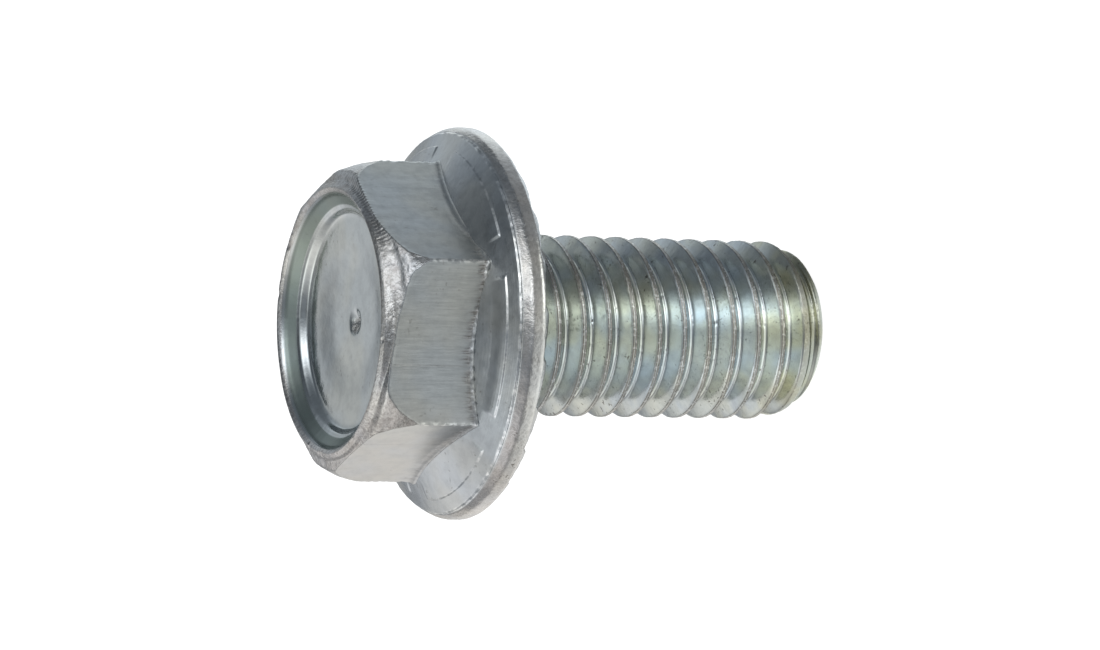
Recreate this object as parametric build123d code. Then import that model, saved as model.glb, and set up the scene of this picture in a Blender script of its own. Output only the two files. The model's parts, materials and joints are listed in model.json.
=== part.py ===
from build123d import *
import os
from math import radians, tan

# A hexagon flange bolt, M10 x 1.5 x 20, cold headed and rolled from one piece of steel.
# It stands on its threaded end: the origin is the centre of the end face, and +Z points
# from the end to the head. Sizes are in millimetres, and angles in degrees.

# Shank, from the end face up to the bearing face under the flange
shank_length = 19.7
thread_diameter = 9.86          # outside of the rolled thread, for a 10 mm nut
neck_length = 1.2               # plain neck under the flange
neck_inset = 0.43               # how far the neck lies below the thread's outside
neck_run_out = 0.6              # height over which the thread fades into the neck
neck_fillet = 0.45              # fillet between the neck and the bearing face
point_height = 1.9              # tapered point below the full thread
point_inset = 1.23              # how far the point tapers in
end_edge_radius = 0.35

# Flange
flange_diameter = 21.12
flange_chamfer = 0.41           # 45 degree chamfer of the bearing face's outer edge
flange_chamfer_radius = 0.3     # between the chamfer and the outer diameter
flange_land = 1.08              # from the chamfer up to the cone, at the outer diameter
flange_shoulder_radius = 0.55   # between the outer diameter and the cone
flange_cone_angle = 27.0        # slope of the cone, up from the bearing face
cone_overlap = 1.0              # how far the cone runs on inside the hexagon's flats

# Raised pads on the cone, one in front of each flat
pad_edge_distance = 1.11        # from the flange's outer diameter
pad_width = 0.75
pad_height = 0.08
pad_root = 0.5                  # depth to which a pad is sunk into the cone
pad_angle = 46.0

# Ratchet teeth of the bearing face: they slide when the bolt is tightened and bite when
# it is loosened
tooth_count = 24
tooth_length = 3.76             # from the flange's outer diameter inwards
tooth_depth = 0.3               # at the flange's outer diameter
tooth_ramp_angle = 10.5
tooth_drop_angle = 2.0
tooth_phase = 13.7              # azimuth of the first gullet

# Hexagon and crown
hexagon_sides = 6
across_flats = 15.0
hexagon_corner_radius = 0.3
head_height = 8.2               # above the bearing face
lip_inset = 0.45                # from a flat in to the crest of the lip round the recess
lip_radius = 0.25
crown_angle = 31.0              # slope of the crown, down from the lip
shoulder_overhang = 0.7         # how far the crown's slope runs out past a flat
shoulder_radius = 0.7
drum_taper = 17.0               # slope of the round blank's side, from the axis

# Round recess in the top of the head, from the lip's crest to its floor
recess_lip_width = 0.25
recess_lip_depth = 0.2
recess_wall_width = 0.6
recess_wall_depth = 0.95
recess_slope_width = 0.7
recess_depth = 1.6
recess_fillet = 0.6
dimple_diameter = 1.5
dimple_depth = 0.25

cut_past = 0.5                  # how far each cutting shape runs past the face that it cuts


def turned(*corners):
    """The solid turned round Z by a closed outline of (radius, height, rounding) corners."""
    outline = make_face(Polyline(*[(r, z) for r, z, _ in corners], close=True))
    for r, z, rounding in corners:
        if rounding:
            outline = fillet(outline.vertices().sort_by_distance((r, z))[0], rounding)
    return revolve(Plane.XZ * outline, Axis.Z)


def cone_height(radius):
    """Height of the flange's cone at a radius, above the end face."""
    rise = (flange_diameter / 2 - radius) * tan(radians(flange_cone_angle))
    return shank_length + flange_chamfer + flange_land + rise


def shank_and_flange():
    """The shank at the thread's outside, its neck, and the flange with its cone."""
    thread = thread_diameter / 2
    neck = thread - neck_inset
    neck_bottom = shank_length - neck_length
    rim = flange_diameter / 2
    core = across_flats / 2 - cone_overlap
    return turned(
        (0, 0, 0),
        (thread - point_inset, 0, end_edge_radius),
        (thread, point_height, 0),
        (thread, neck_bottom - neck_run_out, 0),
        (neck, neck_bottom, 0),
        (neck, shank_length, neck_fillet),
        (rim - flange_chamfer, shank_length, 0),
        (rim, shank_length + flange_chamfer, flange_chamfer_radius),
        (rim, cone_height(rim), flange_shoulder_radius),
        (core, cone_height(core), 0),
        (0, cone_height(core), 0),
    )


def hexagon_head():
    """The round upset head, trimmed to a hexagon above the flange."""
    top = shank_length + head_height
    lip = across_flats / 2 - lip_inset
    shoulder = across_flats / 2 + shoulder_overhang
    shoulder_top = top - (shoulder - lip) * tan(radians(crown_angle))
    base = shoulder + (shoulder_top - shank_length) * tan(radians(drum_taper))
    drum = turned(
        (0, shank_length, 0),
        (base, shank_length, 0),
        (shoulder, shoulder_top, shoulder_radius),
        (lip, top, lip_radius),
        (0, top, 0),
    )
    hexagon = RegularPolygon(across_flats / 2, hexagon_sides, major_radius=False)
    hexagon = fillet(hexagon.vertices(), hexagon_corner_radius)
    return drum & Pos(0, 0, shank_length) * extrude(hexagon, head_height)


def recess():
    """The stepped round recess and the small dimple in its floor."""
    top = shank_length + head_height
    floor = top - recess_depth
    mouth = across_flats / 2 - lip_inset - recess_lip_width
    step = mouth - recess_wall_width
    bowl = turned(
        (0, top + cut_past, 0),
        (mouth, top + cut_past, 0),
        (mouth, top - recess_lip_depth, 0),
        (step, top - recess_wall_depth, 0),
        (step - recess_slope_width, floor, recess_fillet),
        (0, floor, 0),
    )
    dimple = turned(
        (0, floor - dimple_depth, 0),
        (dimple_diameter / 2, floor, 0),
        (dimple_diameter / 2, floor + cut_past, 0),
        (0, floor + cut_past, 0),
    )
    return bowl + dimple


def pads():
    """The low pads on the cone, each in front of a flat."""
    outer = flange_diameter / 2 - pad_edge_distance
    inner = outer - pad_width
    band = make_face(Polyline(
        (inner, cone_height(inner) - pad_root),
        (outer, cone_height(outer) - pad_root),
        (outer, cone_height(outer) + pad_height),
        (inner, cone_height(inner) + pad_height),
        close=True,
    ))
    pad = revolve(Plane.XZ * band, Axis.Z, pad_angle)
    first_flat = 180 / hexagon_sides
    return PolarLocations(0, hexagon_sides, start_angle=first_flat - pad_angle / 2) * pad


def tooth_gap(radius):
    """Cross-section of the gap between two ratchet teeth, at a radius."""
    depth = tooth_depth * radius / (flange_diameter / 2)
    ramp = radius * radians(tooth_ramp_angle)
    drop = -radius * radians(tooth_drop_angle)
    gap = make_face(Polyline(
        (drop, 0), (0, depth), (ramp, 0), (ramp, -cut_past), (drop, -cut_past), close=True,
    ))
    across = Plane(origin=(radius, 0, shank_length), x_dir=(0, 1, 0), z_dir=(1, 0, 0))
    return across * gap


def tooth_gaps():
    """The gaps between the teeth, all lines of which meet on the bolt's axis."""
    rim = flange_diameter / 2
    gap = loft([tooth_gap(rim - tooth_length), tooth_gap(rim + cut_past)])
    return PolarLocations(0, tooth_count, start_angle=tooth_phase) * gap


bolt = shank_and_flange() + pads() + hexagon_head() - recess() - tooth_gaps()

os.makedirs("parts", exist_ok=True)
export_step(bolt, "parts/flange_bolt.step")
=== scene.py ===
import json
from math import atan2, cos, pi, radians, sin, sqrt, tan

import bmesh
import bpy
import numpy as np
from mathutils import Matrix, Vector


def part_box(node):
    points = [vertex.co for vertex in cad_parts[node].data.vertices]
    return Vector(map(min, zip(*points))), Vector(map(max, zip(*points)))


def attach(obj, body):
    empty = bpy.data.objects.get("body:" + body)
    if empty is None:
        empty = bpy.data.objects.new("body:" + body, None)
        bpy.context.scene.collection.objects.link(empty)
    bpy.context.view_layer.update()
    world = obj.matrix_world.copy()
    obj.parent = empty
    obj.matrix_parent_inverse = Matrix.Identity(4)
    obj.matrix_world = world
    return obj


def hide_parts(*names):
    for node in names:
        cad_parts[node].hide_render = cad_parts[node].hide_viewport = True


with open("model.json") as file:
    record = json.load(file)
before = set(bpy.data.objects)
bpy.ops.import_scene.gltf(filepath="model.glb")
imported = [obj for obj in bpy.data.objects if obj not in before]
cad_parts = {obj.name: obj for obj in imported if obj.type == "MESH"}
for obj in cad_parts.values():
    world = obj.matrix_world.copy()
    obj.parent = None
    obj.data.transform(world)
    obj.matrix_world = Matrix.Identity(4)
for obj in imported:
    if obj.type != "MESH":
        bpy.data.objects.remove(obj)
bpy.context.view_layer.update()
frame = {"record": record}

# A zinc-plated hexagon flange bolt, standing on its threaded end, with Z along its axis.
# Lengths are in millimetres until a mesh is made. The bolt is one piece of steel; its skin
# is made as three closed surfaces that run into each other: head, flange and shank.

MM = 0.001
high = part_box("flange_bolt")[1] / MM
mounts = {mount["name"]: mount for mount in frame["record"]["mounts"]}
bearing = mounts["bearing_face"]["pos_m"][2] / MM
thread_radius = mounts["thread"]["dims"]["r_mm"]
rim_radius = high.x - 0.01
top = high.z
sixth = pi / 3                  # from one flat, or corner, to the next

# Head: radii, heights below the top, and azimuths in degrees
flat_distance = 7.5
floor_depth = 1.6
floor_end = 5.3                 # where the recess floor bends up into its wall
wall_middle = 6.3
painted_reflection_band = (6.20, 6.74)        # of the recess wall, whose dark greenish tone is a painted reflection
lip_start = 6.82
lip_crest = 7.12
lip_end = 7.4
crown_start = (7.2, 7.45)       # the crown's rough skin begins between these
foot_band = 0.9                 # height of the close rows at the foot of a flat
front_azimuth = -83             # where the front flat starts lowest
front_reach = 30                # to either side of that
low_trim = 0.30                 # how much lower than the other flats it starts there
dull_shaded_flat = (-120, -60)         # the flat with drawn lines and a darker tone of painted shade, from corner to corner
bright_corners = (-20, -70)     # corners are plain above the first, and bright below the second, partly worn and partly a painted highlight
ribs_azimuth = -27              # middle of the ribbed part of the crown
ribs_reach = 30
rib_count = 210                 # ribs in a whole turn
worn_azimuth = -62              # the crown's edge is worn lowest here
worn_reach = 34
worn_radius = 7.90
worn_depth = 0.42
pit_place = (-0.25, 0.10)       # of the chipped middle of the recess floor
torn_foot = {                   # how torn the foot of the flats is at each azimuth
    -180: 0.2, -150: 0.2, -120: 0.6, -62: 1.0, -58: 0.45,
    -30: 0.0, 30: 0.3, 90: 0.5, 150: 0.6, 180: 0.2,
}
columns_per_flat = 120
dimple_rows, floor_rows, wall_rows, crown_rows = 10, 16, 34, 30
shoulder_rows, flat_rows, foot_rows = 5, 22, 15

# Flange: radii, and heights above the bearing face
cone_slope = tan(radians(27.0))
cone_start = 6.5                # hidden inside the hexagon
ring_radius = 10.2              # of the ring line at the outer edge of the cone
ring_height = 1.67
bearing_radius = 10.1
hidden_radius = 4.0             # of the inner wall, inside the shank and the head
pad_inner = 8.7
pad_outer = 9.45
pad_half_angle = radians(23.0)
pad_height = 0.06
teeth = 24
tooth_pitch = 2 * pi / teeth
tooth_phase = radians(13.7)
tooth_ramp = radians(10.5)
tooth_drop = radians(2.0)
tooth_depth = 0.30
tooth_start = (6.8, 7.0)        # the teeth rise to their depth between these
flange_columns = 720
cone_rows, rim_rows, under_rows = 72, 34, 14
cone_share, rim_share = 0.36, 0.66      # of the profile's length, where each part ends

# Thread
pitch = 1.5
thread_depth = 0.86
root_half_width = 0.15
seam_half_width = 0.06
seam_depth = 0.03
root_azimuth = radians(7.7)     # where a root is at root_height
root_height = 1.21
turns = 15
neck_radius = 4.5
neck_bottom = 18.5
run_out_height = 0.6            # over which the thread fades into the neck
core_radius = 3.0               # of the hidden end of the neck
end_radius = 3.7
lowest_turn = 0.42              # height where the threaded rows stop
rows_per_pitch = 22             # as many as shank_rows gives
thread_columns = 330

# Tones of the plated steel. Each pair holds the two ends of one blend, such as a plain tone
# and the tone of its dark grain.
recess_tone = (0.52, 0.54, 0.54)
# painted reflection: the dark greenish tone on a band of the recess wall
painted_reflection_tone = (0.235, 0.27, 0.25)
crown_tones = (0.49, 0.48, 0.475), (0.37, 0.36, 0.35)
warm_crown_tones = (0.58, 0.555, 0.54), (0.43, 0.405, 0.39)
crown_stain = (0.28, 0.26, 0.25)
rib_tone = (0.14, 0.13, 0.125)
flat_tones = (0.40, 0.425, 0.44), (0.48, 0.50, 0.51)
# painted shade: the flat with drawn lines is toned darker than the other flats
drawn_and_shaded_tones = (0.35, 0.36, 0.365), (0.43, 0.44, 0.445)
warm_flat_tone = (0.45, 0.44, 0.435)
scored_tones = (0.25, 0.235, 0.22), (0.50, 0.49, 0.48)
# worn edges, bright partly from wear and partly as a painted highlight
head_edge_wear_and_highlight_tone = (0.88, 0.88, 0.87)
cone_tone = (0.52, 0.535, 0.545)
rim_tones = (0.56, 0.55, 0.54), (0.46, 0.45, 0.44)
brown_rim_tones = (0.60, 0.57, 0.55), (0.47, 0.44, 0.42)
bearing_tone = (0.40, 0.40, 0.40)
# painted highlight on the ring line and the pads' outer edges
flange_edge_highlight_tone = (0.88, 0.88, 0.88)
flank_tones = (0.53, 0.57, 0.59), (0.58, 0.60, 0.56)
crest_tones = (0.22, 0.205, 0.19), (0.50, 0.49, 0.48)
end_tone = (0.36, 0.37, 0.33)
pit_tone = (0.10, 0.10, 0.09)
drift_tints = (0.97, 1.0, 1.03), (1.02, 1.01, 0.97)
yellow_tint = (1.15, 1.08, 0.80)
mottle_tone = (0.22, 0.23, 0.24)
speck_tone = (0.10, 0.085, 0.07)

# Camera
view_azimuth = radians(-82.29)
view_tilt = radians(25.566)
view_roll = radians(1.241)
view_distance = 266.47
aim_height = 14.810             # of the point in the middle of the view
aim_aside = 0.028               # and how far it lies beside the axis
lens_length = 160.99
sensor_width = 36
nearest_seen = 0.01             # in metres

# Light: an even surround, and glows on it as azimuth, elevation, sharpness and colour. A
# negative colour takes light away, as a dark screen in the studio does.
surround = (0.16, 0.18, 0.20)
glows = [
    (-158, 26, 6, (0.88, 0.85, 0.83)),
    (100, 24, 36, (0.27, 0.27, 0.26)),
    (129, 28, 12, (0.86, 0.83, 0.81)),
    (96, 46, 30, (-0.12, -0.12, -0.12)),
    (65, 74, 20, (-0.11, -0.12, -0.13)),
    (-168, 62, 16, (0.95, 0.97, 0.95)),
    (-104, 62, 30, (-0.14, -0.15, -0.16)),
    (180, 65, 18, (0.30, 0.30, 0.28)),
    (70, 14, 18, (0.46, 0.49, 0.51)),
    (-74, 12, 18, (0.42, 0.44, 0.47)),
    (-61, 12, 42, (2.90, 3.00, 3.08)),
    (-46, 42, 24, (2.00, 2.02, 2.05)),
    (-30, 60, 22, (1.05, 1.08, 1.10)),
    (20, 78, 80, (0.30, 0.33, 0.36)),
]

# Pools of light on the floor, seen only in the steel: azimuth, sharpness, colour, how far
# from the bolt each is brightest, and how far it spreads from there
pools = [
    (-60, 26, (2.95, 3.15, 3.10), 19, 12),
    (-122, 2.5, (1.26, 1.30, 1.25), 0, 90),
    (151, 6, (0.86, 0.84, 0.81), 0, 400),
    (51, 8, (0.96, 1.05, 1.10), 0, 400),
]
floor_white = 0.92              # of the floor as the camera sees it
floor_grey = 0.4                # of the floor under the light
floor_reach = 3.0               # in metres


# ---- Tools for surfaces ----------------------------------------------------------------

def rounded(corners, steps=6):
    """A polyline of (radius, height) through corners of (radius, height, rounding): each
    rounding is an arc tangent to both sides, of steps segments."""
    points = []
    for k, (r, z, rounding) in enumerate(corners):
        here = np.array([r, z])
        if not rounding:
            points.append(here)
            continue
        before = np.array(corners[k - 1][:2]) - here
        after = np.array(corners[k + 1][:2]) - here
        before /= np.linalg.norm(before)
        after /= np.linalg.norm(after)
        half = np.arccos(np.clip(before @ after, -1, 1)) / 2
        middle = (before + after) / np.linalg.norm(before + after)
        centre = here + middle * rounding / sin(half)
        start = here + before * rounding / tan(half) - centre
        end = here + after * rounding / tan(half) - centre
        sweep = atan2(start[0] * end[1] - start[1] * end[0], start @ end)
        turn = np.linspace(0, sweep, steps + 1)[:, None]
        points.extend(centre + start * np.cos(turn)
                      + np.array([-start[1], start[0]]) * np.sin(turn))
    return np.array(points)


def lengths(line):
    """Distance along a polyline to each of its points."""
    return np.r_[0, np.cumsum(np.linalg.norm(np.diff(line, axis=0), axis=1))]


def spaced(line, stations):
    """(radius, height) at stations along a polyline, as two arrays shaped like stations."""
    length = lengths(line)
    return np.interp(stations, length, line[:, 0]), np.interp(stations, length, line[:, 1])


def noise(points, size, seed):
    """Smooth noise from -1 to 1: seeded random values on a cubic lattice of that size, blended
    between the eight around each point by 3t^2 - 2t^3 along each axis."""
    side = 64
    lattice = np.random.default_rng(seed).uniform(-1, 1, (side, side, side))
    place = points / size
    cell = np.floor(place).astype(int)
    t = place - cell
    t = t * t * (3 - 2 * t)
    total = 0
    for corner in np.ndindex(2, 2, 2):
        weight = np.prod(np.where(corner, t, 1 - t), axis=-1)
        total = total + weight * lattice[tuple(np.moveaxis((cell + corner) % side, -1, 0))]
    return total


def rough(points, size, seed):
    """Noise with finer noise on top, each layer half the size and half as strong."""
    return (noise(points, size, seed) + noise(points, size / 2, seed + 1) / 2
            + noise(points, size / 4, seed + 2) / 4)


def step(low_edge, high_edge, value):
    """0 below the low edge, 1 above the high one, and 3t^2 - 2t^3 between them."""
    t = np.clip((value - low_edge) / (high_edge - low_edge), 0, 1)
    return t * t * (3 - 2 * t)


def band(edges, soft, value):
    """1 between two edges and 0 outside them, with a step that reaches soft to either side
    of each edge."""
    return (step(edges[0] - soft, edges[0] + soft, value)
            * step(edges[1] + soft, edges[1] - soft, value))


def bump(value, width):
    """1 at 0, falling to 0 at the width on either side, as (1 - (value / width)^2)^2."""
    return np.clip(1 - (value / width) ** 2, 0, 1) ** 2


def turned(radius, height, azimuth):
    """Points at a radius and height, turned round the axis."""
    radius, height, azimuth = np.broadcast_arrays(radius, height, azimuth)
    return np.stack([radius * np.cos(azimuth), radius * np.sin(azimuth), height], axis=-1)


def degrees_from(middle, azimuth):
    """Degrees from a middle azimuth to each azimuth, wrapped to between -180 and 180."""
    return np.degrees(np.angle(np.exp(1j * (azimuth - radians(middle)))))


def radius_of(grid):
    """Distance of each point from the axis."""
    return np.hypot(grid[..., 0], grid[..., 1])


def tumbled(grid, passes):
    """The grid with its edges worn a little: each pass moves a point half way to the mean of
    its four neighbours. The first and last rows stay."""
    for _ in range(passes):
        around = np.roll(grid, 1, axis=1) + np.roll(grid, -1, axis=1)
        mean = grid.copy()
        mean[1:-1] = (around[1:-1] + grid[:-2] + grid[2:]) / 4
        grid = (grid + mean) / 2
    return grid


def outward(grid):
    """Unit normals of a grid whose rows go down and whose columns go round anticlockwise."""
    across = np.roll(grid, -1, axis=1) - np.roll(grid, 1, axis=1)
    down = np.gradient(grid, axis=0)
    normal = np.cross(down, across)
    return normal / np.maximum(np.linalg.norm(normal, axis=-1, keepdims=True), 1e-9)


def skin(name, grid, masks, capped=True, threaded=None):
    """A closed mesh over a grid of points: rows go down, and columns round the axis. It is
    capped at both ends, or its last row meets its first. In the threaded rows, the last column
    meets the first one a pitch higher. Points that fall together are merged."""
    rows, columns = grid.shape[:2]
    index = np.arange(rows * columns).reshape(rows, columns)
    right = np.roll(index, -1, axis=1)
    if threaded:
        first, last = threaded
        higher = np.maximum(np.arange(first, last) - rows_per_pitch, first)
        right[first:last, -1] = index[higher, 0]
    if capped:
        faces = np.stack([index[:-1], index[1:], right[1:], right[:-1]], axis=-1)
    else:
        below, below_right = np.roll(index, -1, axis=0), np.roll(right, -1, axis=0)
        faces = np.stack([index, below, below_right, right], axis=-1)
    faces = faces.reshape(-1, 4).tolist()
    points = grid.reshape(-1, 3)
    values = {key: np.broadcast_to(value, (rows, columns)).reshape(-1)
              for key, value in masks.items()}
    if capped:
        pole_top, pole_bottom = len(points), len(points) + 1
        points = np.vstack([points, grid[0].mean(axis=0), grid[-1].mean(axis=0)])
        values = {key: np.r_[value, value[0], value[-1]] for key, value in values.items()}
        upper = np.stack([np.full(columns, pole_top), index[0], right[0]], axis=-1)
        lower = np.stack([np.full(columns, pole_bottom), right[-1], index[-1]], axis=-1)
        faces += upper.tolist() + lower.tolist()
    mesh = bpy.data.meshes.new(name)
    mesh.from_pydata((points * MM).tolist(), [], faces)
    for key, value in values.items():
        attribute = mesh.attributes.new(key, "FLOAT", "POINT")
        attribute.data.foreach_set("value", value.astype(np.float32))
    work = bmesh.new()
    work.from_mesh(mesh)
    bmesh.ops.remove_doubles(work, verts=work.verts, dist=1e-4 * MM)
    bmesh.ops.dissolve_degenerate(work, edges=work.edges, dist=1e-5 * MM)
    work.to_mesh(mesh)
    work.free()
    mesh.polygons.foreach_set("use_smooth", np.ones(len(mesh.polygons), bool))
    piece = bpy.data.objects.new(name, mesh)
    bpy.context.scene.collection.objects.link(piece)
    return piece


# ---- Head ------------------------------------------------------------------------------

def cone_height(radius):
    """Height of the flange's cone at a radius: it rises evenly inwards from the ring line."""
    return bearing + ring_height + (ring_radius - radius) * cone_slope


def head_profile():
    """The head turned round, before it is trimmed: the dimple and the shallow bowl of the
    recess floor, the stepped wall, the lip and the crown."""
    floor = top - floor_depth
    return rounded([
        (0.0, floor - 0.30, 0),
        (0.72, floor, 0.06),
        (2.7, floor, 5.0),
        (4.4, floor + 0.22, 4.0),
        (5.55, floor + 0.29, 0.3),
        (5.76, floor + 0.34, 0.06),
        (5.97, floor + 0.70, 0.06),
        (6.19, floor + 0.77, 0.05),
        (6.67, floor + 1.16, 0.03),
        (6.80, floor + 1.42, 0.05),
        (7.06, top, 0.10),
        (7.31, top - 0.16, 0.10),
        (7.44, top - 0.34, 0.10),
        (7.97, top - 0.44, 0.35),
        (8.32, top - 1.20, 0.40),
        (8.52, top - 1.90, 0.60),
        (9.05, top - 3.90, 0),
    ])


def head_grid():
    """Columns are equally spaced along each flat, and meet at the corners. Rows follow the
    profile from the centre to where it meets the flat, which is lower in the middle of the
    front flat, and then go straight down the flat into the flange, closer together at its
    foot. Returns the points, the row where the crown starts and the one where the flat
    starts."""
    along_flat = np.linspace(-1, 1, columns_per_flat, endpoint=False) * tan(sixth / 2)
    turn = np.tile(np.arctan(along_flat), 6)
    azimuth = turn + np.repeat(np.arange(6) * sixth + sixth / 2, columns_per_flat)
    flat_radius = flat_distance / np.cos(turn)
    profile = head_profile()
    stations = lengths(profile)
    crest = np.argmax(profile[:, 1])
    lip = stations[crest]
    edge = np.interp(flat_radius, profile[crest:, 0], stations[crest:])
    bend = np.interp(floor_end, profile[:crest, 0], stations[:crest])
    bowl = np.r_[np.linspace(0.02, 1.0, dimple_rows),
                 np.linspace(1.3, bend, floor_rows, endpoint=False),
                 np.linspace(bend, lip, wall_rows, endpoint=False)]
    bowl = np.broadcast_to(bowl[:, None], (len(bowl), len(azimuth)))
    crown = lip + (edge - lip) * np.linspace(0, 1, crown_rows)[:, None]
    radius, height = spaced(profile, np.vstack([bowl, crown]))
    front = bump(degrees_from(front_azimuth, azimuth), front_reach)
    height -= low_trim * front * step(7.30, 7.46, radius)
    foot = cone_height(flat_radius)
    share = np.r_[np.linspace(0, 0.08, shoulder_rows), np.linspace(0.08, 1, flat_rows)[1:]]
    side = height[-1] + (foot + foot_band - height[-1]) * share[1:, None]
    share = np.linspace(0, 1, foot_rows)[1:, None]
    base = foot + foot_band - (foot_band + 0.3) * share
    straight = np.broadcast_to(flat_radius, (len(side) + len(base), len(azimuth)))
    radius = np.vstack([radius, straight])
    height = np.vstack([height, side, base])
    return turned(radius, height, azimuth), len(bowl), len(bowl) + len(crown)


def make_head():
    """The trimmed head with its edges worn. Every push is along the normal, and is noise on a
    mask. Along the foot of each flat the trimming tore the steel: a rough band, and below it a
    ragged ridge that the shear pushed out. The corners, the crown and the lip are rough, the
    recess has faint waves and a chipped middle, and the crown's edge is worn down at one
    corner. The masks also mark the flat with drawn lines and painted shade, the band of the
    recess wall with a painted reflection, and the ribbed part of the crown."""
    grid, crown_row, flat_row = head_grid()
    grid = tumbled(grid, 3)
    rows = np.arange(len(grid))[:, None]
    radius = radius_of(grid)
    height = grid[..., 2]
    azimuth = np.arctan2(grid[..., 1], grid[..., 0])
    degrees = np.degrees(azimuth)
    on_flat = step(flat_row - 3, flat_row + 1, rows)
    on_crown = step(*crown_start, radius) * step(flat_row + 2, flat_row - 2, rows)
    on_floor = step(crown_row, crown_row - 1, rows)
    on_lip = (step(lip_start - 0.03, lip_start + 0.03, radius)
              * step(lip_end + 0.1, lip_end - 0.1, radius) * (rows >= crown_row - 8))
    on_wall = on_floor * bump(radius - wall_middle, 0.75)

    above_cone = height - cone_height(radius)
    tear = np.interp(degrees, list(torn_foot), list(torn_foot.values()))
    streak = rough(turned(flat_distance, 0, azimuth), 0.11, 10)
    torn = (on_flat * step(0.10, 0.18, above_cone)
            * step(0.62 + 0.35 * streak, 0.22, above_cone) * tear)
    ridge = on_flat * bump(above_cone - 0.06, 0.12 + 0.04 * streak)
    from_corner = np.abs(np.mod(azimuth + sixth / 2, sixth) - sixth / 2) * radius
    corner = on_flat * bump(from_corner, 0.16)
    drawn = grid * (1, 1, 0.22)
    push = 0.11 * ridge * tear * (0.75 + 0.7 * noise(drawn, 0.16, 11))
    push -= torn * (0.015 + 0.05 * np.clip(rough(drawn, 0.14, 12), 0, 1))
    push += on_flat * (1 - tear) * 0.15 * np.clip(1 - above_cone / 0.45, 0, 1) ** 2
    push += corner * 0.03 * rough(grid, 0.22, 13)
    push += on_flat * 0.004 * rough(drawn, 0.5, 14)

    push += on_crown * (0.012 * rough(grid, 0.8, 15) + 0.010 * rough(grid, 0.22, 16))
    dents = step(0.35, 0.8, noise(grid, 0.45, 17))
    push -= on_lip * bump(radius - lip_crest, 0.35) * 0.05 * dents

    push += on_floor * 0.006 * rough(grid, 1.3, 18)
    waves = noise(turned(7 + radius * 0, height * 0.3, azimuth), 0.42, 19)
    push -= on_wall * 0.006 * step(0.3, 0.9, waves)
    from_pit = np.hypot(grid[..., 0] - pit_place[0], grid[..., 1] - pit_place[1])
    pit = on_floor * step(0.50, 0.30, from_pit)
    push -= pit * (0.06 + 0.05 * rough(grid, 0.16, 20))

    grid = grid + outward(grid) * push[..., None]
    worn = bump(degrees_from(worn_azimuth, azimuth), worn_reach)
    worn = worn * bump(radius - worn_radius, 0.50) * (rows > crown_row)
    grid[..., 2] = np.minimum(grid[..., 2] - worn_depth * worn, top)
    masks = {
        "sheared": on_flat,
        # the flat with drawn lines: rougher, and toned darker as painted shade
        "dull_and_shaded": on_flat * band(dull_shaded_flat, 1, degrees),
        "torn": np.clip(torn * (1.1 + 0.5 * streak) + 0.8 * pit, 0, 1),
        # edge: the ragged ridge and the corners, painted bright, partly as wear and partly as a
        # highlight
        "edge": np.clip(ridge * tear + 0.8 * corner * step(*bright_corners, degrees), 0, 1),
        "rough": np.clip(on_crown + on_lip, 0, 1),
        "painted_reflection": (rows < crown_row) * band(painted_reflection_band, 0.03, radius),
        "ribbed": on_crown * bump(degrees_from(ribs_azimuth, azimuth), ribs_reach),
    }
    return skin("hexagon_head", grid, masks)


# ---- Flange ----------------------------------------------------------------------------

def flange_profile():
    """The flange turned round, as a closed loop: cone, the small step at the ring line, rim
    rounded off above and below, bearing face, fillet, and an inner wall hidden in the shank
    and the head."""
    return rounded([
        (cone_start, cone_height(cone_start), 0),
        (ring_radius - 0.03, cone_height(ring_radius - 0.03) + 0.015, 0.02),
        (ring_radius + 0.03, cone_height(ring_radius) - 0.07, 0.03),
        (rim_radius - 0.30, bearing + 1.60, 0.15),
        (rim_radius - 0.02, bearing + 1.10, 0.70),
        (rim_radius, bearing + 0.46, 0.30),
        (bearing_radius, bearing, 0.10),
        (neck_radius, bearing, 0.45),
        (neck_radius, bearing - 0.8, 0),
        (hidden_radius, bearing - 0.8, 0),
        (hidden_radius, bearing + 2.0, 0),
    ])


def tooth_cut(radius, azimuth):
    """Depth of the ratchet teeth: from each gullet the surface ramps down to a land, and then
    drops to the next gullet. All of its lines meet on the axis."""
    angle = np.mod(azimuth - tooth_phase, tooth_pitch)
    gap = np.maximum(1 - angle / tooth_ramp, (angle - tooth_pitch + tooth_drop) / tooth_drop)
    return np.clip(gap, 0, 1) * tooth_depth * radius / rim_radius


def flange_stations(profile):
    """Distances along the flange's profile for its rows: even along the cone, the rim and the
    underside, with closer rows at the pads' outer edge and at the ring line. A radius on the
    cone is sqrt(1 + slope^2) as far along the profile as it is out from the cone's start."""
    length = lengths(profile)[-1]
    near_pad = pad_outer + np.array([-0.06, -0.03, -0.015, 0, 0.015, 0.03, 0.045, 0.07])
    near_ring = ring_radius + np.array([-0.07, -0.045, -0.03, -0.01, 0.01, 0.03, 0.045, 0.07])
    return np.sort(np.r_[
        (np.r_[near_pad, near_ring] - cone_start) * sqrt(1 + cone_slope ** 2),
        np.linspace(0, cone_share * length, cone_rows, endpoint=False),
        np.linspace(cone_share * length, rim_share * length, rim_rows, endpoint=False),
        np.linspace(rim_share * length, length, under_rows, endpoint=False),
    ])


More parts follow.
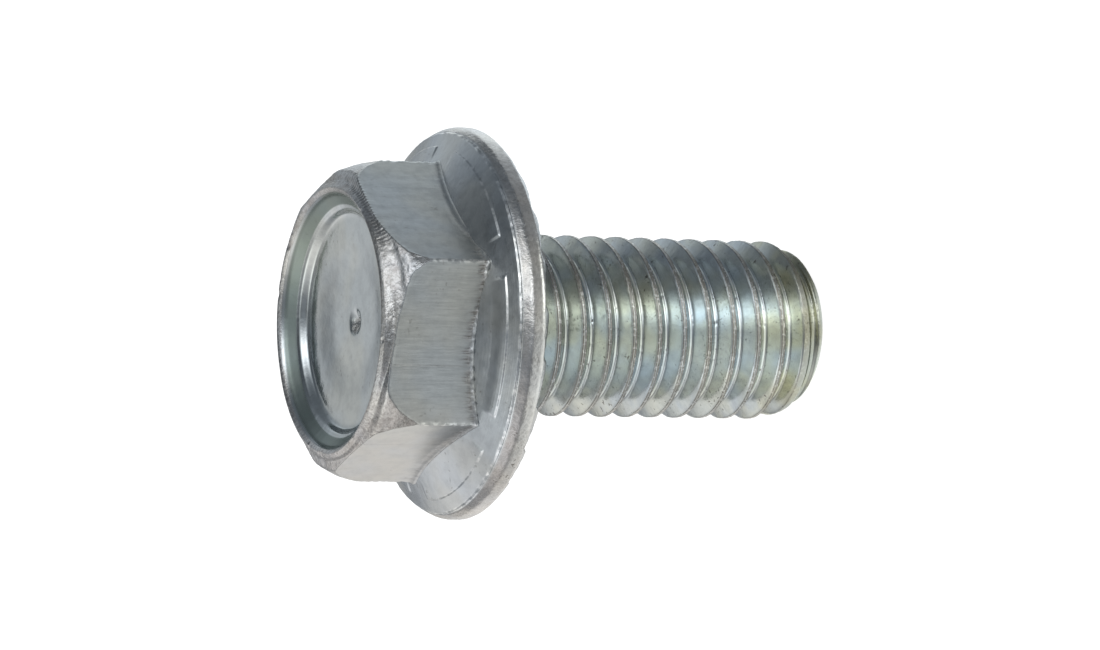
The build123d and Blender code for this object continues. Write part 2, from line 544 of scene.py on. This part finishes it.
def make_flange():
    """The flange with its pads and teeth: the pads are added to the height of the cone, and
    the underside is lifted by the depth of the tooth cut. The rim was left free when it was
    forged, so it is rough outside the ring line, but nowhere wider than the rim radius."""
    profile = flange_profile()
    radius, height = spaced(profile, flange_stations(profile)[:, None])
    azimuth = tooth_phase + np.arange(flange_columns) * 2 * pi / flange_columns
    from_flat = np.abs(np.mod(azimuth, sixth) - sixth / 2)
    on_cone = (height > bearing + 1.2) & (radius > 7)
    pad = (step(pad_inner - 0.2, pad_outer - 0.1, radius)
           * step(pad_outer + 0.05, pad_outer - 0.02, radius)
           * step(pad_half_angle + 0.006, pad_half_angle - 0.003, from_flat))
    raised = height + np.where(on_cone, pad * pad_height, 0)
    underside = bearing + tooth_cut(radius, azimuth) * step(*tooth_start, radius)
    height = np.where(radius > 6.7, np.maximum(raised, underside), height)
    grid = turned(radius, height, azimuth)

    on_rim = step(ring_radius + 0.02, ring_radius + 0.15, radius)
    on_ring = bump(radius - ring_radius, 0.09) * (height > bearing + 1)
    push = on_rim * (0.014 * rough(grid, 0.9, 31) + 0.006 * rough(grid, 0.25, 32) - 0.012)
    push += on_ring * 0.015 * rough(grid, 0.35, 33)
    push += on_cone * (1 - on_rim) * 0.004 * rough(grid, 0.9, 34)
    grid = grid + outward(grid) * push[..., None]
    over = np.maximum(radius_of(grid) / rim_radius, 1)
    grid = grid / np.stack([over, over, np.ones_like(over)], axis=-1)
    pad_edge = (bump(radius - pad_outer - 0.01, 0.06)
                * step(pad_half_angle + 0.01, pad_half_angle, from_flat))
    masks = {
        "rough": on_rim,
        # edge: the ring line and the pads' outer edges, painted bright as a highlight
        "edge": np.clip(on_ring + 0.8 * on_cone * pad_edge, 0, 1),
        "under": (height < bearing + 0.35) * 1.0,
    }
    return skin("serrated_flange", grid, masks, capped=False)


# ---- Shank -----------------------------------------------------------------------------

def thread_form(height, azimuth):
    """Radius of the rolled thread: a 60 degree ridge with a narrow crest and a rounded root,
    which climbs one pitch in each turn anticlockwise. The root and the crest are rounded by
    log(1 + exp(x / size)) * size, which is 0 well below x = 0 and x well above it. A shallow
    seam runs along the crest, where the rolled steel met."""
    root_rounding, crest_rounding = 0.05, 0.02
    risen = (azimuth - root_azimuth) / (2 * pi)
    from_root = np.mod((height - root_height) / pitch - risen, 1)
    from_root = np.minimum(from_root, 1 - from_root) * pitch
    root = thread_radius - thread_depth
    above_root = (from_root - root_half_width) * sqrt(3)
    flank = root + np.log1p(np.exp(above_root / root_rounding)) * root_rounding
    below_crest = thread_radius - flank
    ridge = thread_radius - np.log1p(np.exp(below_crest / crest_rounding)) * crest_rounding
    return ridge - seam_depth * bump(from_root - pitch / 2, seam_half_width)


def point_form(height):
    """Radius of the rolled point, from the end face up to the full thread."""
    line = rounded([(0, 0, 0), (end_radius, 0, 0.4), (4.38, 0.56, 0.6), (thread_radius, 2.0, 0)])
    return np.interp(height, line[1:, 1], line[1:, 0])


def shank_rows():
    """Heights of the threaded rows at azimuth 0: close together at crests and roots."""
    share = np.array([0, .03, .06, .10, .15, .21, .27, .33, .38, .41, .44,
                      .47, .50, .53, .56, .59, .63, .68, .74, .80, .86, .93])
    steps_down = (np.arange(turns)[:, None] + share).reshape(-1)
    first = root_height - pitch * root_azimuth / (2 * pi)
    first += pitch * np.ceil((neck_bottom - first) / pitch)
    heights = first - steps_down * pitch
    return heights[heights > -pitch]


def make_shank():
    """The threaded shank: the smaller of the thread and the point at each place, fading into
    the neck. Rolling leaves its crests rough, and its flanks and roots smooth but for a few
    small pits. Its ends are hidden in the flange and closed under the point."""
    azimuth = np.arange(thread_columns) * 2 * pi / thread_columns
    rows = np.append(shank_rows(), -pitch)
    height = np.clip(rows[:, None] + pitch * azimuth / (2 * pi), lowest_turn, neck_bottom)
    full = thread_form(height, azimuth)
    point = point_form(height)
    radius = np.minimum(full, point)
    run_out = step(neck_bottom - run_out_height, neck_bottom, height)
    radius = radius + (np.minimum(radius, neck_radius) - radius) * run_out
    radius = np.where(height >= neck_bottom, neck_radius, radius)
    crest = step(thread_radius - 0.045, thread_radius - 0.01, full)
    crest = np.maximum(crest, step(0.02, -0.02, point - full)) * (1 - run_out)
    place = turned(radius, height, azimuth)
    ragged = 0.010 * rough(place, 0.3, 51) + 0.008 * rough(place, 0.12, 52) - 0.016
    pits = step(0.72, 0.85, noise(place, 0.20, 53))
    radius = np.minimum(radius + crest * ragged - (1 - crest) * 0.03 * pits, thread_radius)

    inside = np.full((2, 1), bearing + 0.5)
    neck = turned(np.array([[core_radius], [neck_radius]]), inside, azimuth)
    threaded = turned(radius, height, azimuth)
    edge_heights = np.array([[0.3], [0.2], [0.12], [0.06], [0.02], [0.0]])
    edge = turned(point_form(edge_heights), edge_heights, azimuth)
    end_face = turned(np.array([[3.0], [1.0]]), 0.0, azimuth)
    grid = np.concatenate([neck, threaded, edge, end_face])
    first = len(neck)
    last = first + len(threaded)
    crests = np.zeros(grid.shape[:2])
    crests[first:last] = crest
    crests[last:] = 0.6
    return skin("threaded_shank", grid, {"rough": crests}, threaded=(first, last))


# ---- Tools for nodes -------------------------------------------------------------------

def put(tree, value, socket):
    """Link a socket to another, or set its value."""
    if isinstance(value, bpy.types.NodeSocket):
        tree.links.new(value, socket)
    else:
        socket.default_value = value


def math(tree, operation, *values, clamp=False):
    """A Math node on its values."""
    node = tree.nodes.new("ShaderNodeMath")
    node.operation = operation
    node.use_clamp = clamp
    for value, socket in zip(values, node.inputs):
        put(tree, value, socket)
    return node.outputs[0]


def product(tree, first, *others):
    """All of the values multiplied."""
    for other in others:
        first = math(tree, "MULTIPLY", first, other)
    return first


def total(tree, *parts):
    """Sum of value * amount over the parts."""
    result = 0.0
    for value, amount in parts:
        result = math(tree, "MULTIPLY_ADD", value, amount, result)
    return result


def vector_math(tree, operation, *values):
    """A Vector Math node on its values. Returns its outputs, Vector and Value."""
    node = tree.nodes.new("ShaderNodeVectorMath")
    node.operation = operation
    for value, socket in zip(values, node.inputs):
        put(tree, value, socket)
    return node.outputs


def scaled(tree, vector, factor, added):
    """vector * factor + added."""
    spread = tree.nodes.new("ShaderNodeCombineXYZ")
    for socket in spread.inputs:
        put(tree, factor, socket)
    return vector_math(tree, "MULTIPLY_ADD", vector, spread.outputs[0], added)["Vector"]


def stretched(tree, place, x, y, z):
    """The place, with each axis scaled."""
    return vector_math(tree, "MULTIPLY", place, (x, y, z))["Vector"]


def object_place(tree):
    """Object coordinates in metres."""
    return tree.nodes.new("ShaderNodeTexCoord").outputs["Object"]


def millimetres(tree):
    """Object coordinates in millimetres."""
    return stretched(tree, object_place(tree), 1 / MM, 1 / MM, 1 / MM)


def split(tree, vector):
    """The X, Y and Z of a vector."""
    node = tree.nodes.new("ShaderNodeSeparateXYZ")
    put(tree, vector, node.inputs[0])
    return node.outputs


def clouds(tree, place, scale, detail=2.0, roughness=0.5):
    """Noise from 0 to 1 with features of about 1 / scale mm."""
    node = tree.nodes.new("ShaderNodeTexNoise")
    put(tree, place, node.inputs["Vector"])
    node.inputs["Scale"].default_value = scale
    node.inputs["Detail"].default_value = detail
    node.inputs["Roughness"].default_value = roughness
    return node.outputs["Fac"]


def between(tree, value, low_edge, high_edge, low=0.0, high=1.0):
    """The value's place between two edges, smoothly, from low to high."""
    node = tree.nodes.new("ShaderNodeMapRange")
    node.interpolation_type = "SMOOTHSTEP"
    for number, socket in zip((value, low_edge, high_edge, low, high), node.inputs):
        put(tree, number, socket)
    return node.outputs["Result"]


def patches(tree, place, scale, low_edge, high_edge, detail=2.0, roughness=0.5):
    """Patches of about 1 / scale mm: 0 where their noise is below the low edge, and 1 where
    it is above the high one."""
    return between(tree, clouds(tree, place, scale, detail, roughness), low_edge, high_edge)


def blend(tree, factor, first, second, how="MIX"):
    """The first colour, turning by the factor to the second, or to the product of both where
    how says MULTIPLY."""
    node = tree.nodes.new("ShaderNodeMix")
    node.data_type = "RGBA"
    node.blend_type = how
    put(tree, factor, node.inputs["Factor"])
    sockets = [socket for socket in node.inputs if socket.type == "RGBA"]
    for colour, socket in zip((first, second), sockets):
        linked = isinstance(colour, bpy.types.NodeSocket)
        put(tree, colour if linked else (*colour, 1), socket)
    return next(socket for socket in node.outputs if socket.type == "RGBA")


def part_way(tree, factor, first, second):
    """first + (second - first) * factor, as numbers."""
    node = tree.nodes.new("ShaderNodeMix")
    for value, label in ((factor, "Factor"), (first, "A"), (second, "B")):
        put(tree, value, node.inputs[label])
    return node.outputs["Result"]


def mask(tree, name):
    """The piece's own mask of that name, from 0 to 1."""
    node = tree.nodes.new("ShaderNodeAttribute")
    node.attribute_name = name
    return node.outputs["Fac"]


def group(name, inputs, outputs):
    """An empty shader group with its sockets. Returns it with its two end nodes."""
    tree = bpy.data.node_groups.new(name, "ShaderNodeTree")
    for kind, sockets in (("INPUT", inputs), ("OUTPUT", outputs)):
        for label, form in sockets.items():
            tree.interface.new_socket(label, in_out=kind, socket_type="NodeSocket" + form)
    return tree, tree.nodes.new("NodeGroupInput"), tree.nodes.new("NodeGroupOutput")


def use(tree, shared, **values):
    """Place a shared group in a material, with its inputs."""
    node = tree.nodes.new("ShaderNodeGroup")
    node.node_tree = shared
    for label, value in values.items():
        put(tree, value, node.inputs[label])
    return node.outputs


# ---- Finish ----------------------------------------------------------------------------

def steel_marks():
    """What all of the steel shows: soft mottling, fine grain, small dark specks and larger
    stained patches, each from noise of its own scale. Specks lie only in some places."""
    tree, given, result = group(
        "steel_marks",
        {"Place": "Vector"},
        {"Mottle": "Float", "Grain": "Float", "Specks": "Float", "Stain": "Float"})
    place = given.outputs["Place"]
    small = patches(tree, place, 4.2, 0.66, 0.74, 1.5)
    where = patches(tree, place, 0.45, 0.46, 0.60)
    marks = {
        "Mottle": clouds(tree, place, 1.6, 3.0, 0.6),
        "Grain": clouds(tree, place, 5.5, 3.0, 0.65),
        "Specks": product(tree, small, where),
        "Stain": patches(tree, place, 0.8, 0.52, 0.66, 4.0, 0.7),
    }
    for label, mark in marks.items():
        put(tree, mark, result.inputs[label])
    return tree


def plating_colour():
    """Zinc plating on a tone of steel: the tone times a tint that drifts from bluish to
    yellowish over the part, then mottled, with dark brown specks."""
    tree, given, result = group(
        "plating_colour",
        {"Place": "Vector", "Tone": "Color", "Mottle": "Float", "Specks": "Float",
         "Yellow": "Float"},
        {"Color": "Color"})
    given = given.outputs
    tint = blend(tree, patches(tree, given["Place"], 0.28, 0.35, 0.65), *drift_tints)
    tint = blend(tree, given["Yellow"], tint, yellow_tint)
    plated = blend(tree, 1.0, given["Tone"], tint, how="MULTIPLY")
    darker = between(tree, given["Mottle"], 0.30, 0.62, 0.20, 0.0)
    plated = blend(tree, darker, plated, mottle_tone)
    plated = blend(tree, product(tree, given["Specks"], 0.8), plated, speck_tone)
    put(tree, plated, result.inputs["Color"])
    return tree


def finished(name, build):
    """A metal material: build gives its tone, yellow share, specks, roughness and height in
    millimetres from the tree, the place and the marks."""
    material = bpy.data.materials.new(name)
    material.use_nodes = True
    tree = material.node_tree
    shader = tree.nodes["Principled BSDF"]
    shader.inputs["Metallic"].default_value = 1.0
    place = millimetres(tree)
    marks = use(tree, marks_group, Place=place)
    tone, yellow, specks, roughness, height = build(tree, place, marks)
    colour = use(tree, colour_group, Place=place, Tone=tone, Mottle=marks["Mottle"],
                 Specks=specks, Yellow=yellow)
    put(tree, colour["Color"], shader.inputs["Base Color"])
    put(tree, roughness, shader.inputs["Roughness"])
    relief = tree.nodes.new("ShaderNodeBump")
    relief.inputs["Distance"].default_value = MM
    put(tree, height, relief.inputs["Height"])
    put(tree, relief.outputs["Normal"], shader.inputs["Normal"])
    return material


def head_finish(tree, place, marks):
    """Recess plated smooth, with a dark greenish painted reflection and a rougher finish on a
    band of its wall; crown and lip grainy, warmer towards -X, and darkly ribbed above one flat;
    flats matt, and one of them drawn with fine lines and painted darker as shade; foot torn
    brown and scored, like the chipped middle of the recess; edges bright, partly worn and partly
    a painted highlight."""
    sheared, dull_and_shaded, torn = (mask(tree, name) for name in ("sheared", "dull_and_shaded", "torn"))
    edge, rough_part = mask(tree, "edge"), mask(tree, "rough")
    painted_reflection, ribbed = mask(tree, "painted_reflection"), mask(tree, "ribbed")
    grain = marks["Grain"]
    axes = split(tree, place)
    lines = clouds(tree, stretched(tree, place, 1, 1, 0.09), 11.0, 3.0, 0.65)
    bright = product(tree, edge, patches(tree, place, 3.2, 0.42, 0.58))
    angle = math(tree, "ARCTAN2", axes["Y"], axes["X"])
    ribs = math(tree, "SINE", product(tree, angle, rib_count))
    ribs = product(tree, ribs, ribbed, between(tree, marks["Mottle"], 0.30, 0.5, 0.3, 1.0))

    dark_grain = between(tree, grain, 0.58, 0.36)
    warmer = between(tree, axes["X"], -1.0, -6.0)
    crown = blend(tree, dark_grain, *crown_tones)
    crown = blend(tree, warmer, crown, blend(tree, dark_grain, *warm_crown_tones))
    crown = blend(tree, product(tree, marks["Stain"], 0.6), crown, crown_stain)
    flat = blend(tree, marks["Mottle"], *flat_tones)
    # painted shade: the flat with drawn lines takes darker tones than the others
    drawn = blend(tree, between(tree, lines, 0.30, 0.70), *drawn_and_shaded_tones)
    flat = blend(tree, dull_and_shaded, flat, drawn)
    flat = blend(tree, between(tree, axes["X"], -2.5, -6.0), flat, warm_flat_tone)
    scored = blend(tree, between(tree, lines, 0.42, 0.58), *scored_tones)
    # a band of the recess wall takes a dark greenish painted reflection
    tone = blend(tree, painted_reflection, recess_tone, painted_reflection_tone)
    tone = blend(tree, rough_part, tone, crown)
    tone = blend(tree, sheared, tone, flat)
    tone = blend(tree, torn, tone, scored)
    # bright edges: partly wear, partly a painted highlight
    tone = blend(tree, bright, tone, head_edge_wear_and_highlight_tone)
    tone = blend(tree, math(tree, "MULTIPLY", ribs, -0.6, clamp=True), tone, rib_tone)

    roughness = part_way(tree, rough_part, part_way(tree, painted_reflection, 0.11, 0.34), 0.24)
    roughness = part_way(tree, sheared, roughness, part_way(tree, dull_and_shaded, 0.30, 0.38))
    roughness = part_way(tree, torn, roughness, 0.55)
    roughness = part_way(tree, bright, roughness, 0.42)
    height = total(tree,
                   (product(tree, lines, sheared), 0.003),
                   (product(tree, lines, dull_and_shaded), 0.010),
                   (product(tree, grain, rough_part), 0.022),
                   (product(tree, grain, torn), 0.05),
                   (ribs, 0.008), (marks["Mottle"], 0.010), (grain, 0.002))
    return tone, 0.0, product(tree, marks["Specks"], 0.35), roughness, height


def flange_finish(tree, place, marks):
    """Cone plated smooth, with faint turned rings; rim grainy with brown specks, browner
    towards -X; ring line and pad edges bright, as a painted highlight."""
    rough_part, edge, under = (mask(tree, name) for name in ("rough", "edge", "under"))
    grain = marks["Grain"]
    across = vector_math(tree, "LENGTH", stretched(tree, place, 1, 1, 0))["Value"]
    rings = tree.nodes.new("ShaderNodeCombineXYZ")
    put(tree, across, rings.inputs["X"])
    rings = clouds(tree, rings.outputs[0], 5.0, 3.0, 0.6)
    bright = product(tree, edge, patches(tree, place, 2.2, 0.42, 0.62))

    dark_grain = between(tree, grain, 0.58, 0.36)
    browner = between(tree, split(tree, place)["X"], 3.0, -7.0, 0.15, 1.0)
    rim = blend(tree, dark_grain, *rim_tones)
    rim = blend(tree, browner, rim, blend(tree, dark_grain, *brown_rim_tones))
    tone = blend(tree, rough_part, cone_tone, rim)
    tone = blend(tree, under, tone, bearing_tone)
    # painted highlight on the ring line and the pads' outer edges
    tone = blend(tree, bright, tone, flange_edge_highlight_tone)

    smooth = part_way(tree, marks["Mottle"], 0.17, 0.27)
    roughness = part_way(tree, rough_part, smooth, 0.24)
    roughness = part_way(tree, bright, roughness, 0.24)
    height = total(tree, (product(tree, grain, rough_part), 0.020), (rings, 0.006),
                   (marks["Mottle"], 0.008), (grain, 0.002))
    stained = product(tree, part_way(tree, marks["Stain"], 0.3, 1.0), rough_part, browner)
    brown_specks = product(tree, stained, between(tree, grain, 0.53, 0.58))
    specks = math(tree, "MAXIMUM", product(tree, marks["Specks"], 0.5), brown_specks)
    return tone, 0.0, specks, roughness, height


def thread_finish(tree, place, marks):
    """Flanks and roots rolled smooth, drifting from bluish to greenish, yellower in patches
    towards the end and darker on it; crests rough and brown with bright specks; small dark
    pits."""
    crest = mask(tree, "rough")
    grain = marks["Grain"]
    height_up = split(tree, place)["Z"]
    brown = blend(tree, between(tree, grain, 0.54, 0.62), *crest_tones)
    flank = blend(tree, patches(tree, place, 0.42, 0.38, 0.62), *flank_tones)
    tone = blend(tree, crest, flank, brown)
    tone = blend(tree, between(tree, height_up, 2.8, 0.6), tone, end_tone)
    pits = product(tree, patches(tree, place, 9.0, 0.64, 0.72, 1.0),
                   patches(tree, place, 0.6, 0.48, 0.58))
    tone = blend(tree, product(tree, pits, 0.7), tone, pit_tone)

    yellow = product(tree, between(tree, height_up, 5.5, 0.5),
                     between(tree, clouds(tree, place, 0.5), 0.40, 0.66, 0.0, 0.6))
    roughness = part_way(tree, crest, part_way(tree, marks["Mottle"], 0.14, 0.24), 0.30)
    height = total(tree, (product(tree, grain, crest), 0.025), (marks["Mottle"], 0.008),
                   (grain, 0.002))
    return tone, yellow, marks["Specks"], roughness, height


marks_group = steel_marks()
colour_group = plating_colour()
for piece, finish in ((make_head(), finished("head_plating", head_finish)),
                      (make_flange(), finished("flange_plating", flange_finish)),
                      (make_shank(), finished("thread_plating", thread_finish))):
    piece.data.materials.append(finish)
    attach(piece, "root")
    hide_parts("flange_bolt")


# ---- Camera, floor and light -----------------------------------------------------------

def make_camera():
    """The camera looks down at the bolt, and is rolled so that the axis lies across the
    picture with the head at the left. It stands back from its aim along the view."""
    outwards = Vector((cos(view_azimuth), sin(view_azimuth), 0))
    sideways = Vector((-sin(view_azimuth), cos(view_azimuth), 0))
    upwards = Vector((0, 0, 1))
    forward = -cos(view_tilt) * outwards - sin(view_tilt) * upwards
    down_axis = sin(view_tilt) * outwards - cos(view_tilt) * upwards
    right = cos(view_roll) * down_axis + sin(view_roll) * sideways
    up = cos(view_roll) * sideways - sin(view_roll) * down_axis
    aim = aim_aside * sideways + aim_height * upwards
    data = bpy.data.cameras.new("camera")
    data.lens = lens_length
    data.sensor_width = sensor_width
    data.clip_start = nearest_seen
    camera = bpy.data.objects.new("camera", data)
    turn = Matrix((right, up, -forward)).transposed().to_4x4()
    camera.matrix_world = Matrix.Translation((aim - forward * view_distance) * MM) @ turn
    bpy.context.scene.collection.objects.link(camera)
    bpy.context.scene.camera = camera


def direction(azimuth, elevation):
    """Unit vector at an azimuth and elevation in degrees."""
    azimuth, elevation = radians(azimuth), radians(elevation)
    return (cos(azimuth) * cos(elevation), sin(azimuth) * cos(elevation), sin(elevation))


def glowing(tree, looking, even, lights):
    """An even light with glows on it, each of which falls off with the direction as
    exp(sharpness * (cosine - 1)) from its middle."""
    light = even
    for azimuth, elevation, sharpness, colour in lights:
        middle = direction(azimuth, elevation)
        cosine = vector_math(tree, "DOT_PRODUCT", looking, middle)["Value"]
        power = math(tree, "MULTIPLY_ADD", cosine, sharpness, -sharpness)
        light = scaled(tree, colour, math(tree, "EXPONENT", power), light)
    return light


def make_floor():
    """A plain white floor, far wider than the view. The steel sees pools of soft light on it
    round the bolt. Each is a glow by azimuth, times exp(-((distance - brightest) / spread)^2)
    by distance from the bolt."""
    mesh = bpy.data.meshes.new("floor")
    corners = [(x * floor_reach, y * floor_reach, 0)
               for x, y in ((-1, -1), (1, -1), (1, 1), (-1, 1))]
    mesh.from_pydata(corners, [], [(0, 1, 2, 3)])
    floor = bpy.data.objects.new("floor", mesh)
    bpy.context.scene.collection.objects.link(floor)
    material = bpy.data.materials.new("white_floor")
    material.use_nodes = True
    tree = material.node_tree
    shader = tree.nodes["Principled BSDF"]
    shader.inputs["Base Color"].default_value = (floor_grey, floor_grey, floor_grey, 1)
    shader.inputs["Roughness"].default_value = 1.0
    shader.inputs["Specular IOR Level"].default_value = 0.0
    outwards = vector_math(tree, "NORMALIZE", object_place(tree))["Vector"]
    distance = vector_math(tree, "LENGTH", millimetres(tree))["Value"]
    dark = (0.0, 0.0, 0.0)
    pooled = dark
    for azimuth, sharpness, colour, brightest, spread in pools:
        share = math(tree, "DIVIDE", math(tree, "SUBTRACT", distance, brightest), spread)
        share = math(tree, "EXPONENT", product(tree, share, share, -1))
        light = glowing(tree, outwards, dark, [(azimuth, 0, sharpness, colour)])
        pooled = scaled(tree, light, share, pooled)
    path = tree.nodes.new("ShaderNodeLightPath").outputs
    white = (floor_white, floor_white, floor_white)
    colour = blend(tree, path["Is Camera Ray"], pooled, white)
    put(tree, colour, shader.inputs["Emission Color"])
    seen = math(tree, "MAXIMUM", path["Is Camera Ray"], path["Is Glossy Ray"])
    seen = math(tree, "MAXIMUM", seen, path["Is Transmission Ray"])
    put(tree, seen, shader.inputs["Emission Strength"])
    mesh.materials.append(material)


def make_light():
    """A soft studio: an even grey-blue surround with glows on it, some broad and dim, some
    narrow and strong, and three darker patches."""
    world = bpy.data.worlds.new("studio")
    bpy.context.scene.world = world
    world.use_nodes = True
    tree = world.node_tree
    looking = tree.nodes.new("ShaderNodeTexCoord").outputs["Generated"]
    put(tree, glowing(tree, looking, surround, glows), tree.nodes["Background"].inputs["Color"])


make_camera()
make_floor()
make_light()
bpy.context.scene.view_settings.view_transform = "Standard"
